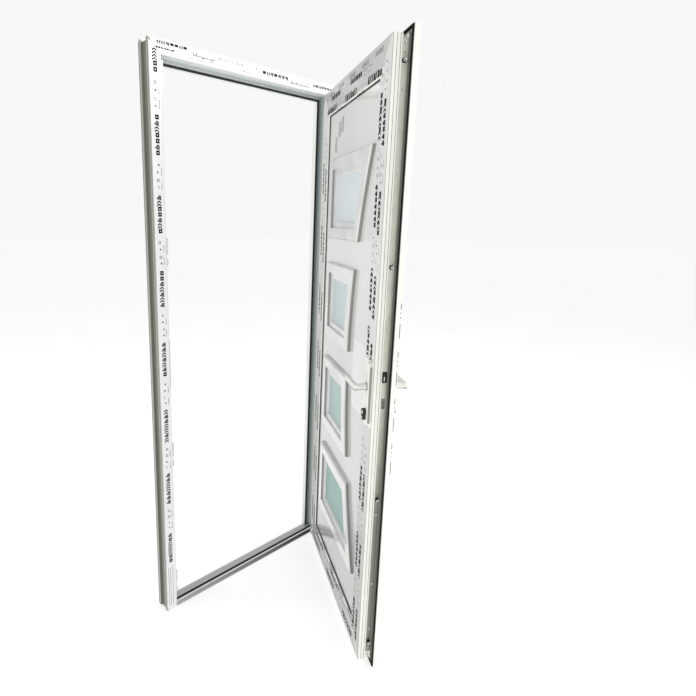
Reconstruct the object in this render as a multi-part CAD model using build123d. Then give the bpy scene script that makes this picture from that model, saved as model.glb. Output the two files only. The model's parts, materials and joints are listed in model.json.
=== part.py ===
from build123d import *
import os
from math import sqrt

# A white uPVC front door set: a welded outer frame with a low aluminium threshold, and an inward
# opening leaf with a glossy panel and four lights whose lock side edges lie on one long arc.
# Axes: X along the frame's width, Y from the room to the outside, Z up from the floor.
# Every leaf piece is drawn in the closed position and then turned open about the hinge pins.

# Outer frame
frame_width = 900.0
frame_height = 2100.0
frame_depth = 70.0
frame_face = 45.0
frame_lip = 20.0
lip_depth = 20.0
wall_channel_start = 13.0
wall_channel_width = 36.0
wall_channel_depth = 7.0
wall_step_width = 11.0
wall_step_depth = 4.0
wall_line_start = 4.0
wall_line_width = 3.0
wall_line_depth = 4.0
frame_gasket_width = 8.0

# Gaps and fits
rebate_gap = 12.0
flange_gap = 5.0
seal_gap = 0.4
loose_fit = 0.3
running_fit = 0.05
press_clearance = 0.02
sill_gap = 12.0
over_cut = 1.0
mitre_reserve = 20.0

# Leaf profile
flange_reach = 22.0
flange_thickness = 18.0
gasket_height = 4.0
sash_face = 94.0
glazing_cover = 18.0
lip_thickness = 4.0
panel_gasket = 3.0
gasket_show = 3.7
bead_width = 20.0
bead_slope_width = 8.0
bead_slope_depth = 12.0
edge_bevel = 2.0
edge_line_places = (11.0, 21.5)
edge_line_width = 1.4
edge_line_depth = 1.6
leaf_gasket_inset = 4.0
leaf_gasket_width = 5.0
leaf_gasket_web = 0.8
leaf_gasket_flap = 7.0

# Infill panel and lights
panel_thickness = 28.0
panel_edge_gap = 4.0
light_count = 4
light_gap = 95.0
lights_top_margin = 178.0
lights_bottom_margin = 165.0
lights_hinge_margin = 79.0
lights_corner_margin = 22.0
lights_apex_margin = 192.0
mould_height = 15.0
mould_face = 40.0
mould_width = 66.0
mould_step = 7.0
mould_slope = 5.0
glass_edge_gap = 3.0
panel_cover = 45.0

# Threshold
sill_height = 15.0
sill_nose = 14.0
sill_fall = 12.0
sill_seal_width = 8.0
sill_seal_height = 7.0
sill_seal_setback = 15.0

# Hinges
open_angle = 56.0
hinge_inset = 13.0
hinge_stand = 29.0
hinge_end_margin = 223.0
knuckle_radius = 8.0
pin_radius = 4.0
hinge_height = 100.0
knuckle_gap = 0.5
hinge_plate = 3.0
hinge_plate_width = 26.0
leaf_plate_width = 55.0
hinge_plate_inset = 2.0
hinge_arm = 6.0
hinge_cap = 3.0

# Lock edge
groove_width = 16.0
faceplate_thickness = 3.0
groove_from_flange = 15.6
faceplate_low_margin = 33.0
faceplate_high_margin = 13.0
rail_width = 10.0
rail_thickness = 2.5
rail_groove_depth = 8.0
roller_end_margin = 70.0
roller_below_spindle = 381.0
roller_above_spindle = 380.0
roller_radius = 5.5
roller_stem_radius = 3.5
roller_stand = 7.5
roller_travel = 18.0
latch_above_spindle = 39.0
latch_size = 26.0
latch_width = 11.0
latch_stand = 9.0
latch_throw = 8.5
latch_nose = 3.0
latch_heel = 1.0
deadbolt_below_spindle = 48.0
deadbolt_size = 34.0
deadbolt_width = 11.0
bolt_length_share = 0.8
rail_end = 20.0
rail_case_gap = 2.0
case_thickness = 14.0
case_depth = 62.0
case_below_spindle = 130.0
case_above_spindle = 90.0

# Handles and cylinder
spindle_height = 1027.0
backset = 35.0
spindle_size = 8.0
cylinder_drop = 85.0
plate_height = 212.0
plate_top_above_spindle = 80.0
plate_width = 36.0
plate_thickness = 10.0
plate_edge = 3.0
plate_bore_reach = 30.0
boss_radius = 10.5
boss_overlap = 9.0
lever_neck = 44.0
lever_length = 92.0
lever_width = 21.0
lever_tip_width = 16.0
lever_thickness = 12.0
lever_rise = 7.0
lever_bend = 30.0
lever_edge = 3.0
socket_depth = 20.0
spindle_reach = 18.0
cylinder_radius = 8.5
cylinder_web = 10.0
cylinder_drop_leg = 20.0
cylinder_stand = 10.0

# Keeps on the lock jamb
keep_thickness = 2.0
keep_width = 24.0
keep_wall = 4.0
keep_wall_gap = 0.5
keep_reach = 7.0
keep_clear = 3.0
keep_end_clear = 5.0
keep_below_roller = 30.0
roller_keep_height = 95.0
centre_keep_margin = 30.0
pocket_depth = 14.0

# Places that follow from the sizes above
half_width = frame_width / 2
room_face = -frame_depth / 2
outer_face = frame_depth / 2
lip_face = outer_face - lip_depth
frame_seal_face = lip_face - gasket_height
leaf_outer = frame_seal_face - seal_gap
flange_back = room_face - flange_gap
leaf_room = flange_back - flange_thickness
body_inset = frame_face + rebate_gap
leaf_left = body_inset - half_width
leaf_right = half_width - body_inset
leaf_bottom = sill_height + sill_gap
leaf_top = frame_height - body_inset
leaf_rect = (leaf_left, leaf_right, leaf_bottom, leaf_top)
frame_rect = (-half_width, half_width, 0.0, frame_height)
glazing_floor = sash_face - glazing_cover
lip_back = leaf_outer - lip_thickness
panel_outer = lip_back - panel_gasket
panel_room = panel_outer - panel_thickness
panel_inset = glazing_floor + panel_edge_gap
hinge_x = half_width - hinge_inset
hinge_y = room_face - hinge_stand
groove_y = flange_back + groove_from_flange
spindle_x = leaf_left + backset
cylinder_height = spindle_height - cylinder_drop
plate_top = spindle_height + plate_top_above_spindle
hinge_low = leaf_bottom + hinge_end_margin
hinge_high = leaf_top - hinge_end_margin
hinge_heights = (hinge_low, (hinge_low + hinge_high) / 2, hinge_high)
faceplate_bottom = leaf_bottom + faceplate_low_margin
faceplate_top = leaf_top - faceplate_high_margin
roller_heights = (
    leaf_bottom + roller_end_margin,
    spindle_height - roller_below_spindle,
    spindle_height + roller_above_spindle,
    leaf_top - roller_end_margin,
)
latch_centre = spindle_height + latch_above_spindle
deadbolt_centre = spindle_height - deadbolt_below_spindle
case_bottom = spindle_height - case_below_spindle
case_top = spindle_height + case_above_spindle

# The lights share the height that the margins and the gaps leave, and one arc touches their lock side
lights_top = leaf_top - sash_face - lights_top_margin
lights_bottom = leaf_bottom + sash_face + lights_bottom_margin
light_height = (lights_top - lights_bottom - (light_count - 1) * light_gap) / light_count
light_tops = [lights_top - i * (light_height + light_gap) for i in range(light_count)]
light_edge_x = leaf_right - sash_face - lights_hinge_margin
arc_height = (lights_top + lights_bottom) / 2
arc_bow = lights_apex_margin - lights_corner_margin
arc_half_chord = (lights_top - lights_bottom) / 2
arc_radius = (arc_half_chord**2 + arc_bow**2) / (2 * arc_bow)
arc_centre_x = leaf_left + sash_face + lights_apex_margin - arc_radius


def block(x0, x1, y0, y1, z0, z1):
    """A box given by its lowest and highest corners."""
    centre = ((x0 + x1) / 2, (y0 + y1) / 2, (z0 + z1) / 2)
    return Pos(*centre) * Box(abs(x1 - x0), abs(y1 - y0), abs(z1 - z0))


def post(x, y, z0, z1, radius):
    """An upright cylinder."""
    return Pos(x, y, (z0 + z1) / 2) * Cylinder(radius, abs(z1 - z0))


def bar_x(x0, x1, y, z, radius):
    """A cylinder along X."""
    return Pos((x0 + x1) / 2, y, z) * Rot(0, 90, 0) * Cylinder(radius, abs(x1 - x0))


def bar_y(x, y0, y1, z, radius):
    """A cylinder along Y."""
    return Pos(x, (y0 + y1) / 2, z) * Rot(90, 0, 0) * Cylinder(radius, abs(y1 - y0))


def xz_prism(points, y0, y1):
    """A polygon in X and Z, given a thickness from y0 to y1."""
    face = Plane.XZ.offset(-y0) * make_face(Polyline(*points, close=True))
    return extrude(face, amount=y1 - y0, dir=(0, 1, 0))


def rect_points(rect, inset):
    """Corners of a rectangle set in from the given one."""
    left, right, bottom, top = rect
    return [
        (left + inset, bottom + inset),
        (right - inset, bottom + inset),
        (right - inset, top - inset),
        (left + inset, top - inset),
    ]


def ring(rect, outer_inset, inner_inset, y0, y1):
    """A rectangular ring between two insets."""
    outer = xz_prism(rect_points(rect, outer_inset), y0, y1)
    inner = xz_prism(rect_points(rect, inner_inset), y0 - over_cut, y1 + over_cut)
    return outer - inner


def side_plane(rect, side, over):
    """The plane of a bar's section: local x points into the rectangle, local y along +Y."""
    left, right, bottom, top = rect
    planes = {
        "left": ((left, 0, bottom - over), (1, 0, 0), (0, 0, 1)),
        "right": ((right, 0, top + over), (-1, 0, 0), (0, 0, -1)),
        "bottom": ((right + over, 0, bottom), (0, 0, 1), (-1, 0, 0)),
        "top": ((left - over, 0, top), (0, 0, -1), (1, 0, 0)),
    }
    origin, x_dir, z_dir = planes[side]
    return Plane(origin=origin, x_dir=x_dir, z_dir=z_dir)


def mitre_points(rect, side, over, deep, square_foot=False):
    """The outline that a bar keeps between its two mitre cuts."""
    left, right, bottom, top = rect
    rise = 0 if square_foot else deep
    low_left = (left - over, bottom - over), (left + deep, bottom + rise)
    low_right = (right - deep, bottom + rise), (right + over, bottom - over)
    high_left = (left + deep, top - deep), (left - over, top + over)
    high_right = (right + over, top + over), (right - deep, top - deep)
    return {
        "left": [*low_left, *high_left],
        "right": [*low_right, *high_right],
        "bottom": [low_left[0], low_right[1], low_right[0], low_left[1]],
        "top": [high_right[0], high_left[1], high_left[0], high_right[1]],
    }[side]


def mitred_bar(section, rect, side, over, deep, square_foot=False):
    """One welded bar of a rectangular frame, mitred at both ends unless its foot is square."""
    length = (rect[3] - rect[2] if side in ("left", "right") else rect[1] - rect[0]) + 2 * over
    face = side_plane(rect, side, over) * make_face(Polyline(*section, close=True))
    bar = extrude(face, amount=length)
    outline = mitre_points(rect, side, over, deep, square_foot)
    return bar & xz_prism(outline, -frame_depth * 2, frame_depth * 2)


def groove(high, width, depth):
    """Points of a square groove cut into the edge side of a section, from its higher Y to its lower."""
    low = high - width
    return [(0, high), (depth, high), (depth, low), (0, low)]


def frame_section():
    """Outer frame profile: inset from the outer edge, then Y.
    The wall side has a step, a wide channel and a narrow line."""
    step_low = outer_face - wall_step_width
    channel_high = room_face + wall_channel_start + wall_channel_width
    line_high = room_face + wall_line_start + wall_line_width
    return [
        (0, room_face),
        (frame_face, room_face),
        (frame_face, lip_face),
        (frame_face + frame_lip, lip_face),
        (frame_face + frame_lip, outer_face),
        (wall_step_depth, outer_face),
        (wall_step_depth, step_low),
        (0, step_low),
        *groove(channel_high, wall_channel_width, wall_channel_depth),
        *groove(line_high, wall_line_width, wall_line_depth),
    ]


def leaf_section():
    """Leaf profile: inset from the body's edge, then Y. The flange stands out past the edge."""
    groove_low = groove_y - groove_width / 2 - loose_fit
    groove_high = groove_y + groove_width / 2 + loose_fit
    rail_low = groove_y - rail_width / 2 - loose_fit
    rail_high = groove_y + rail_width / 2 + loose_fit
    rail_floor = faceplate_thickness + rail_groove_depth
    lines = []
    for place in edge_line_places:
        lines += groove(leaf_outer - place + edge_line_width / 2, edge_line_width, edge_line_depth)
    return [
        (-flange_reach, leaf_room),
        (glazing_floor, leaf_room),
        (glazing_floor, lip_back),
        (sash_face, lip_back),
        (sash_face, leaf_outer - edge_bevel),
        (sash_face - 2 * edge_bevel, leaf_outer),
        (0, leaf_outer),
        *lines,
        (0, groove_high),
        (faceplate_thickness, groove_high),
        (faceplate_thickness, rail_high),
        (rail_floor, rail_high),
        (rail_floor, rail_low),
        (faceplate_thickness, rail_low),
        (faceplate_thickness, groove_low),
        (0, groove_low),
        (0, flange_back),
        (-flange_reach, flange_back),
    ]


def bead_section():
    """Room side glazing bead, from the glazing floor to the panel, with a sloped sight edge."""
    outer = glazing_floor + bead_width
    gasket_face = panel_room - panel_gasket
    return [
        (glazing_floor, leaf_room),
        (outer - bead_slope_width, leaf_room),
        (outer, leaf_room + bead_slope_depth),
        (outer, gasket_face),
        (glazing_floor, gasket_face),
    ]


def stem_slot(height, radius):
    """One upright slot through the faceplate, as long as a roller stem's travel."""
    x0 = leaf_left - over_cut
    x1 = leaf_left + faceplate_thickness + over_cut
    high = height + roller_travel
    slot = block(x0, x1, groove_y - radius, groove_y + radius, height, high)
    slot += bar_x(x0, x1, groove_y, height, radius)
    slot += bar_x(x0, x1, groove_y, high, radius)
    return slot


def euro_profile(radius, web, drop, x, z, y0, y1):
    """The keyhole outline of a profile cylinder, along Y."""
    shape = bar_y(x, y0, y1, z, radius)
    shape += block(x - web / 2, x + web / 2, y0, y1, z - drop, z)
    shape += bar_y(x, y0, y1, z - drop, web / 2)
    return shape


def lock_openings():
    """What is machined out of the lock stile for the lock case, the spindle and the cylinder."""
    grow = loose_fit
    case = block(
        leaf_left, leaf_left + case_depth + grow, groove_y - case_thickness / 2 - grow,
        groove_y + case_thickness / 2 + grow, case_bottom - grow, case_top + grow,
    )
    spindle = bar_y(spindle_x, leaf_room - over_cut, leaf_outer + over_cut, spindle_height, boss_radius)
    cylinder = euro_profile(
        cylinder_radius + grow, cylinder_web + 2 * grow, cylinder_drop_leg, spindle_x,
        cylinder_height, leaf_room - over_cut, leaf_outer + over_cut,
    )
    return case + spindle + cylinder


def leaf_bars():
    """The four welded bars of the leaf."""
    over = flange_reach
    deep = sash_face + mitre_reserve
    names = {"left": "lock_stile", "right": "hinge_stile", "bottom": "bottom_rail", "top": "top_rail"}
    bars = {}
    for side, name in names.items():
        bars[name] = mitred_bar(leaf_section(), leaf_rect, side, over, deep)
    bars["lock_stile"] -= lock_openings()
    return bars


def glazing_beads():
    """The four beads that hold the panel from the room side."""
    deep = glazing_floor + bead_width + mitre_reserve
    names = {
        "left": "bead_lock_side",
        "right": "bead_hinge_side",
        "bottom": "bead_bottom",
        "top": "bead_top",
    }
    return {name: mitred_bar(bead_section(), leaf_rect, side, 0, deep) for side, name in names.items()}


def arc_x(height, inset):
    """Where the long arc, set in, crosses a height."""
    radius = arc_radius + inset
    return arc_centre_x + sqrt(radius**2 - (height - arc_height) ** 2)


def light_outline(top, inset):
    """One light's outline: level top and bottom, upright hinge side, lock side on the long arc."""
    high = top - inset
    low = top - light_height + inset
    right = light_edge_x - inset
    middle = (high + low) / 2
    high_x = arc_x(high, inset)
    low_x = arc_x(low, inset)
    edges = [
        Line((high_x, high), (right, high)),
        Line((right, high), (right, low)),
        Line((right, low), (low_x, low)),
        ThreePointArc((low_x, low), (arc_x(middle, inset), middle), (high_x, high)),
    ]
    return make_face(edges)


def light_slab(top, inset, y0, y1):
    """A light's outline with straight walls."""
    face = Plane.XZ.offset(-y0) * light_outline(top, inset)
    return extrude(face, amount=y1 - y0, dir=(0, 1, 0))


def light_taper(top, inset0, y0, inset1, y1):
    """A light's outline with sloped walls, from one inset to another."""
    return loft([
        Plane.XZ.offset(-y0) * light_outline(top, inset0),
        Plane.XZ.offset(-y1) * light_outline(top, inset1),
    ])


def light_moulding(top, face_y, out):
    """The moulded surround of a light: raised flat band, then a stepped bead down to the glass.
    out is 1 on the outside of the panel and -1 on the room side."""
    crown = face_y + out * mould_height
    shoulder = face_y + out * (mould_height - mould_slope)
    ledge = face_y + out * mould_step
    beyond = face_y + out * (mould_height + over_cut)
    inner_ledge = mould_width - mould_slope
    body = light_slab(top, 0, face_y, shoulder)
    body += light_taper(top, 0, shoulder, mould_slope, crown)
    body -= light_slab(top, mould_face, ledge, beyond)
    body -= light_taper(top, inner_ledge, ledge, mould_width, face_y)
    body -= light_slab(top, inner_ledge, ledge - out * press_clearance, beyond)
    return body


def door_panel():
    """The flat panel with its four light openings."""
    slab = xz_prism(rect_points(leaf_rect, panel_inset), panel_room, panel_outer)
    for top in light_tops:
        slab -= light_slab(top, panel_cover, panel_room - over_cut, panel_outer + over_cut)
    return slab


def glass_unit(top):
    """A sealed glass unit as thick as the panel, held between the two mouldings."""
    return light_slab(top, panel_cover + glass_edge_gap, panel_room, panel_outer)


def threshold():
    """Low aluminium threshold between the jambs: a ramped nose, a flat tread and a fall outside."""
    points = [
        (room_face, 0),
        (outer_face, 0),
        (outer_face, sill_height / 2),
        (outer_face - sill_fall, sill_height),
        (room_face + sill_nose, sill_height),
        (room_face, sill_height / 4),
    ]
    half = half_width - frame_face
    face = Plane.YZ.offset(-half) * make_face(Polyline(*points, close=True))
    bar = extrude(face, amount=2 * half)
    notch = half - frame_lip
    for side in (-1, 1):
        bar -= block(
            side * notch, side * (half + over_cut), lip_face, outer_face + over_cut,
            -over_cut, sill_height + over_cut,
        )
    return bar


def threshold_seal():
    """Black bulb seal along the tread."""
    y0 = room_face + sill_seal_setback
    half = half_width - frame_face
    bulb_radius = sill_seal_height / 2
    bulb_height = sill_height + bulb_radius
    base = block(-half, half, y0, y0 + sill_seal_width, sill_height, bulb_height)
    return base + bar_x(-half, half, y0 + sill_seal_width / 2, bulb_height, bulb_radius)


def frame_gasket():
    """Black gasket on the frame's lip, up both jambs and across the head."""
    inner = frame_face + frame_lip
    tall_rect = (-half_width, half_width, -frame_height, frame_height)
    strip = ring(tall_rect, inner - frame_gasket_width, inner, frame_seal_face, lip_face)
    below = block(-frame_width, frame_width, -frame_depth, frame_depth, -frame_height, sill_height)
    return strip - below


def jamb_pockets():
    """Holes through the centre keep and into the lock jamb, for the latch and the deadbolt."""
    x0 = -half_width + frame_face - pocket_depth
    x1 = -half_width + frame_face + keep_thickness + over_cut
    y0 = groove_y - deadbolt_width / 2 - keep_clear
    y1 = groove_y + deadbolt_width / 2 + keep_clear
    cuts = []
    for centre, size in ((deadbolt_centre, deadbolt_size), (latch_centre, latch_size)):
        half = size / 2 + keep_end_clear
        cuts.append(block(x0, x1, y0, y1, centre - half, centre + half))
    return cuts


def centre_keep():
    """Keep plate on the lock jamb, with holes for the latch and the deadbolt."""
    x0 = -half_width + frame_face
    low = deadbolt_centre - deadbolt_size / 2 - centre_keep_margin
    high = latch_centre + latch_size / 2 + centre_keep_margin
    plate = block(x0, x0 + keep_thickness, groove_y - keep_width / 2, groove_y + keep_width / 2, low, high)
    for cut in jamb_pockets():
        plate -= cut
    return plate


def roller_keeps():
    """Four keeps: a base plate and a wall on the room side, notched where the roller comes in."""
    x0 = -half_width + frame_face
    x1 = x0 + keep_reach
    y0 = groove_y - roller_radius - keep_wall_gap - keep_wall
    y1 = groove_y + keep_width / 2
    wall_back = y0 + keep_wall
    reach = roller_radius + keep_clear
    solids = []
    for height in roller_heights:
        low = height - keep_below_roller
        high = low + roller_keep_height
        keep = block(x0, x0 + keep_thickness, y0, y1, low, high)
        keep += block(x0, x1, y0, wall_back, low, high)
        keep -= block(
            x0 + keep_thickness, x1 + over_cut, y0 - over_cut, wall_back + over_cut,
            height - reach, height + reach,
        )
        solids.append(keep)
    return solids


def hinge_thirds(centre):
    """Heights where the frame's lower knuckle, the leaf's knuckle and the frame's upper knuckle end."""
    low = centre - hinge_height / 2
    high = centre + hinge_height / 2
    third = hinge_height / 3
    return low, low + third, high - third, high


def frame_hinges():
    """Frame halves of the hinges: a plate on the frame's face and two knuckles on a web."""
    solids = []
    for centre in hinge_heights:
        low, split_low, split_high, high = hinge_thirds(centre)
        x1 = hinge_x + hinge_plate_width / 2 - hinge_plate_inset
        half_arm = hinge_arm / 2
        plate_y = room_face - hinge_plate
        plate = block(x1 - hinge_plate_width, x1, plate_y, room_face, low, high)
        for z0, z1 in ((low, split_low), (split_high, high)):
            plate += post(hinge_x, hinge_y, z0, z1, knuckle_radius)
            plate += block(hinge_x - half_arm, hinge_x + half_arm, hinge_y, plate_y, z0, z1)
        plate -= post(hinge_x, hinge_y, low - over_cut, high + over_cut, pin_radius + press_clearance)
        solids.append(plate)
    return solids


def hinge_pins():
    """Pins with a small head, held by the frame's knuckles."""
    solids = []
    for centre in hinge_heights:
        low, _, _, high = hinge_thirds(centre)
        pin = post(hinge_x, hinge_y, low, high, pin_radius)
        pin += post(hinge_x, hinge_y, high, high + hinge_cap, knuckle_radius)
        solids.append(pin)
    return solids


def leaf_hinges():
    """Leaf halves of the hinges: a plate on the leaf's room face with an arm to its knuckle."""
    solids = []
    x1 = leaf_right + flange_reach - hinge_plate_inset
    for centre in hinge_heights:
        low, split_low, split_high, high = hinge_thirds(centre)
        z0 = split_low + knuckle_gap
        z1 = split_high - knuckle_gap
        flag = block(x1 - leaf_plate_width, x1, leaf_room - hinge_plate, leaf_room, low, high)
        arm_y = hinge_y - hinge_arm / 2
        flag += block(x1 - hinge_plate_width, hinge_x, arm_y, leaf_room, z0, z1)
        flag += post(hinge_x, hinge_y, z0, z1, knuckle_radius)
        flag -= post(hinge_x, hinge_y, z0 - over_cut, z1 + over_cut, pin_radius + running_fit)
        solids.append(flag)
    return solids


def bolt_windows():
    """Holes through the faceplate for the latch and the deadbolt."""
    x0 = leaf_left - over_cut
    x1 = leaf_left + faceplate_thickness + over_cut
    cuts = []
    for centre, size, width in (
        (latch_centre, latch_size, latch_width),
        (deadbolt_centre, deadbolt_size, deadbolt_width),
    ):
        half = size / 2 + loose_fit
        y_half = width / 2 + loose_fit
        cuts.append(block(x0, x1, groove_y - y_half, groove_y + y_half, centre - half, centre + half))
    return cuts


def faceplate():
    """Long steel strip in the lock edge's groove."""
    strip = block(
        leaf_left, leaf_left + faceplate_thickness, groove_y - groove_width / 2,
        groove_y + groove_width / 2, faceplate_bottom, faceplate_top,
    )
    for height in roller_heights:
        strip -= stem_slot(height, roller_stem_radius + loose_fit)
    for cut in bolt_windows():
        strip -= cut
    return strip


def drive_rail():
    """The sliding strip behind the faceplate, interrupted at the lock case."""
    x0 = leaf_left + faceplate_thickness + loose_fit
    x1 = x0 + rail_thickness
    y0 = groove_y - rail_width / 2
    y1 = groove_y + rail_width / 2
    spans = (
        (roller_heights[0] - rail_end, case_bottom - roller_travel - rail_case_gap),
        (case_top + rail_case_gap, roller_heights[-1] + rail_end),
    )
    return [block(x0, x1, y0, y1, z0, z1) for z0, z1 in spans]


def rollers():
    """Lock rollers on stems that reach through the faceplate to the drive rail."""
    x_rail = leaf_left + faceplate_thickness + loose_fit
    x_face = leaf_left - loose_fit
    x_tip = leaf_left - roller_stand
    solids = []
    for height in roller_heights:
        roller = bar_x(x_tip, x_face, groove_y, height, roller_radius)
        roller += bar_x(x_face - over_cut, x_rail, groove_y, height, roller_stem_radius)
        solids.append(roller)
    return solids


def lock_case():
    """The gearbox in the lock stile, open where its bolts slide and its spindle and cylinder pass."""
    x0 = leaf_left + faceplate_thickness
    case = block(
        x0, leaf_left + case_depth, groove_y - case_thickness / 2, groove_y + case_thickness / 2,
        case_bottom, case_top,
    )
    for centre, size, width in (
        (latch_centre, latch_size, latch_width),
        (deadbolt_centre, deadbolt_size, deadbolt_width),
    ):
        half = size / 2 + loose_fit
        y_half = width / 2 + loose_fit
        x1 = leaf_left + latch_throw + bolt_length(size) + loose_fit
        case -= block(x0 - over_cut, x1, groove_y - y_half, groove_y + y_half, centre - half, centre + half)
    case -= bar_y(spindle_x, leaf_room, leaf_outer, spindle_height, boss_radius)
    case -= euro_profile(
        cylinder_radius + loose_fit, cylinder_web + 2 * loose_fit, cylinder_drop_leg, spindle_x,
        cylinder_height, leaf_room, leaf_outer,
    )
    return case


def bolt_length(size):
    """How far a bolt reaches back into the lock case."""
    return size * bolt_length_share


def latch_bolt():
    """Sprung latch with a bevelled nose, standing out of the faceplate at rest."""
    half = latch_size / 2
    y0 = groove_y - latch_width / 2
    y1 = groove_y + latch_width / 2
    points = [
        (leaf_left + bolt_length(latch_size), y0),
        (leaf_left + bolt_length(latch_size), y1),
        (leaf_left - latch_stand, y1),
        (leaf_left - latch_stand, y1 - latch_nose),
        (leaf_left - latch_heel, y0),
    ]
    face = Plane.XY.offset(latch_centre - half) * make_face(Polyline(*points, close=True))
    return extrude(face, amount=latch_size)


def deadbolt():
    """Deadbolt, drawn back level with the faceplate at rest."""
    half = deadbolt_size / 2
    return block(
        leaf_left, leaf_left + bolt_length(deadbolt_size), groove_y - deadbolt_width / 2,
        groove_y + deadbolt_width / 2, deadbolt_centre - half, deadbolt_centre + half,
    )


def back_plate(face_y, out):
    """Long handle plate on one face of the lock stile."""
    y1 = face_y + out * plate_thickness
    low = plate_top - plate_height
    plate = block(spindle_x - plate_width / 2, spindle_x + plate_width / 2, face_y, y1, low, plate_top)
    plate = fillet(plate.edges().filter_by(Axis.Y), plate_width / 2 - over_cut)
    front = plate.faces().sort_by(Axis.Y)[-1 if out > 0 else 0]
    plate = chamfer(front.edges(), plate_edge)
    bore_low = face_y - plate_bore_reach
    bore_high = face_y + plate_bore_reach
    plate -= bar_y(spindle_x, bore_low, bore_high, spindle_height, boss_radius + running_fit)
    plate -= euro_profile(
        cylinder_radius + loose_fit, cylinder_web + 2 * loose_fit, cylinder_drop_leg, spindle_x,
        cylinder_height, bore_low, bore_high,
    )
    return plate


def lever(face_y, out):
    """Lever handle: a round neck out of the plate and a grip that runs back towards the hinges."""
    y_plate = face_y + out * (plate_thickness - boss_overlap)
    y_grip = face_y + out * (plate_thickness + lever_neck)
    neck = bar_y(spindle_x, y_plate, y_grip, spindle_height, boss_radius)
    half = lever_width / 2
    x_bend = spindle_x + lever_bend
    x_end = spindle_x + lever_length
    tip_middle = spindle_height + lever_rise
    tip_half = lever_tip_width / 2
    points = [
        (spindle_x - half, spindle_height - half),
        (x_bend, spindle_height - half),
        (x_end, tip_middle - tip_half),
        (x_end, tip_middle + tip_half),
        (x_bend, spindle_height + half),
        (spindle_x - half, spindle_height + half),
    ]
    low_y = min(y_grip, y_grip - out * lever_thickness)
    grip = xz_prism(points, low_y, low_y + lever_thickness)
    grip = fillet(grip.edges().filter_by(Axis.Y), lever_edge)
    handle = neck + grip
    socket = spindle_size / 2 + running_fit
    handle -= block(
        spindle_x - socket, spindle_x + socket, y_plate - out * over_cut,
        face_y + out * (plate_thickness + socket_depth), spindle_height - socket, spindle_height + socket,
    )
    return handle


def spindle():
    """Square bar that joins the two levers through the lock case."""
    half = spindle_size / 2
    reach = plate_thickness + spindle_reach
    return block(
        spindle_x - half, spindle_x + half, leaf_room - reach, leaf_outer + reach,
        spindle_height - half, spindle_height + half,
    )


def cylinder():
    """Profile cylinder, a little proud of both plates."""
    y0 = leaf_room - plate_thickness - cylinder_stand
    y1 = leaf_outer + plate_thickness + cylinder_stand
    return euro_profile(
        cylinder_radius, cylinder_web, cylinder_drop_leg, spindle_x, cylinder_height, y0, y1,
    )


def opened(shape):
    """Turns a closed leaf piece about the hinge pins to the stored open position."""
    turn = Pos(hinge_x, hinge_y, 0) * Rot(0, 0, open_angle) * Pos(-hinge_x, -hinge_y, 0)
    return turn * shape


def frame_nodes():
    """Everything that stays on the wall."""
    deep = frame_face + frame_lip + mitre_reserve
    nodes = {
        "lock_jamb": mitred_bar(frame_section(), frame_rect, "left", 0, deep, square_foot=True),
        "hinge_jamb": mitred_bar(frame_section(), frame_rect, "right", 0, deep, square_foot=True),
        "frame_head": mitred_bar(frame_section(), frame_rect, "top", 0, deep),
        "threshold": threshold(),
        "threshold_seal": threshold_seal(),
        "frame_gasket": frame_gasket(),
        "centre_keep": centre_keep(),
        "roller_keeps": Compound(roller_keeps()),
        "frame_hinges": Compound(frame_hinges()),
        "hinge_pins": Compound(hinge_pins()),
    }
    for cut in jamb_pockets():
        nodes["lock_jamb"] -= cut
    return nodes


def leaf_gasket():
    """Black seal in the flange's corner: a lip against the frame, a web and a flap along the edge."""
    lip_start = leaf_gasket_inset - flange_reach
    lip_end = lip_start + leaf_gasket_width
    web = leaf_gasket_web
    seal = ring(leaf_rect, lip_start, lip_end, flange_back, room_face - seal_gap)
    seal += ring(leaf_rect, lip_end, 0, flange_back, flange_back + web)
    return seal + ring(leaf_rect, -web, 0, flange_back, flange_back + leaf_gasket_flap)


def leaf_nodes():
    """Everything that swings with the leaf, still closed."""
    nodes = {**leaf_bars(), **glazing_beads()}
    nodes["leaf_gasket"] = leaf_gasket()
    nodes["panel_gasket"] = ring(leaf_rect, panel_inset, sash_face + gasket_show, panel_outer, lip_back)
    bead_seal = glazing_floor + bead_width + over_cut
    nodes["bead_gasket"] = ring(leaf_rect, panel_inset, bead_seal, panel_room - panel_gasket, panel_room)
    nodes["door_panel"] = door_panel()
    for i, top in enumerate(light_tops, start=1):
        nodes[f"light_surround_outer_{i}"] = light_moulding(top, panel_outer, 1)
        nodes[f"light_surround_inner_{i}"] = light_moulding(top, panel_room, -1)
        nodes[f"glass_unit_{i}"] = glass_unit(top)
    nodes["lock_faceplate"] = faceplate()
    nodes["lock_case"] = lock_case()
    nodes["profile_cylinder"] = cylinder()
    nodes["handle_plate_outer"] = back_plate(leaf_outer, 1)
    nodes["handle_plate_inner"] = back_plate(leaf_room, -1)
    nodes["leaf_hinges"] = Compound(leaf_hinges())
    return nodes


def lock_nodes():
    """The pieces that move within the leaf."""
    return {
        "lever_outer": lever(leaf_outer, 1),
        "lever_inner": lever(leaf_room, -1),
        "spindle": spindle(),
        "latch_bolt": latch_bolt(),
        "deadbolt": deadbolt(),
        "drive_rail": Compound(drive_rail()),
        "lock_rollers": Compound(rollers()),
    }


os.makedirs("parts", exist_ok=True)
nodes = frame_nodes()
for name, shape in {**leaf_nodes(), **lock_nodes()}.items():
    nodes[name] = opened(shape)
for name, shape in nodes.items():
    export_step(shape, f"parts/{name}.step")
print(len(nodes), "nodes")
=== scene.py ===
# %% [markdown]
# # A white plastic front door, standing open
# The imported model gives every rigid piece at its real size. This file adds what the eye looks for:
# the finish of each surface, the printed film that new profiles arrive in, screws, weld beads,
# seals and glass. Everything is in metres, in the model's own frame: X runs along the frame's
# width, Y from the room to the outside, Z up from the floor.

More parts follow.
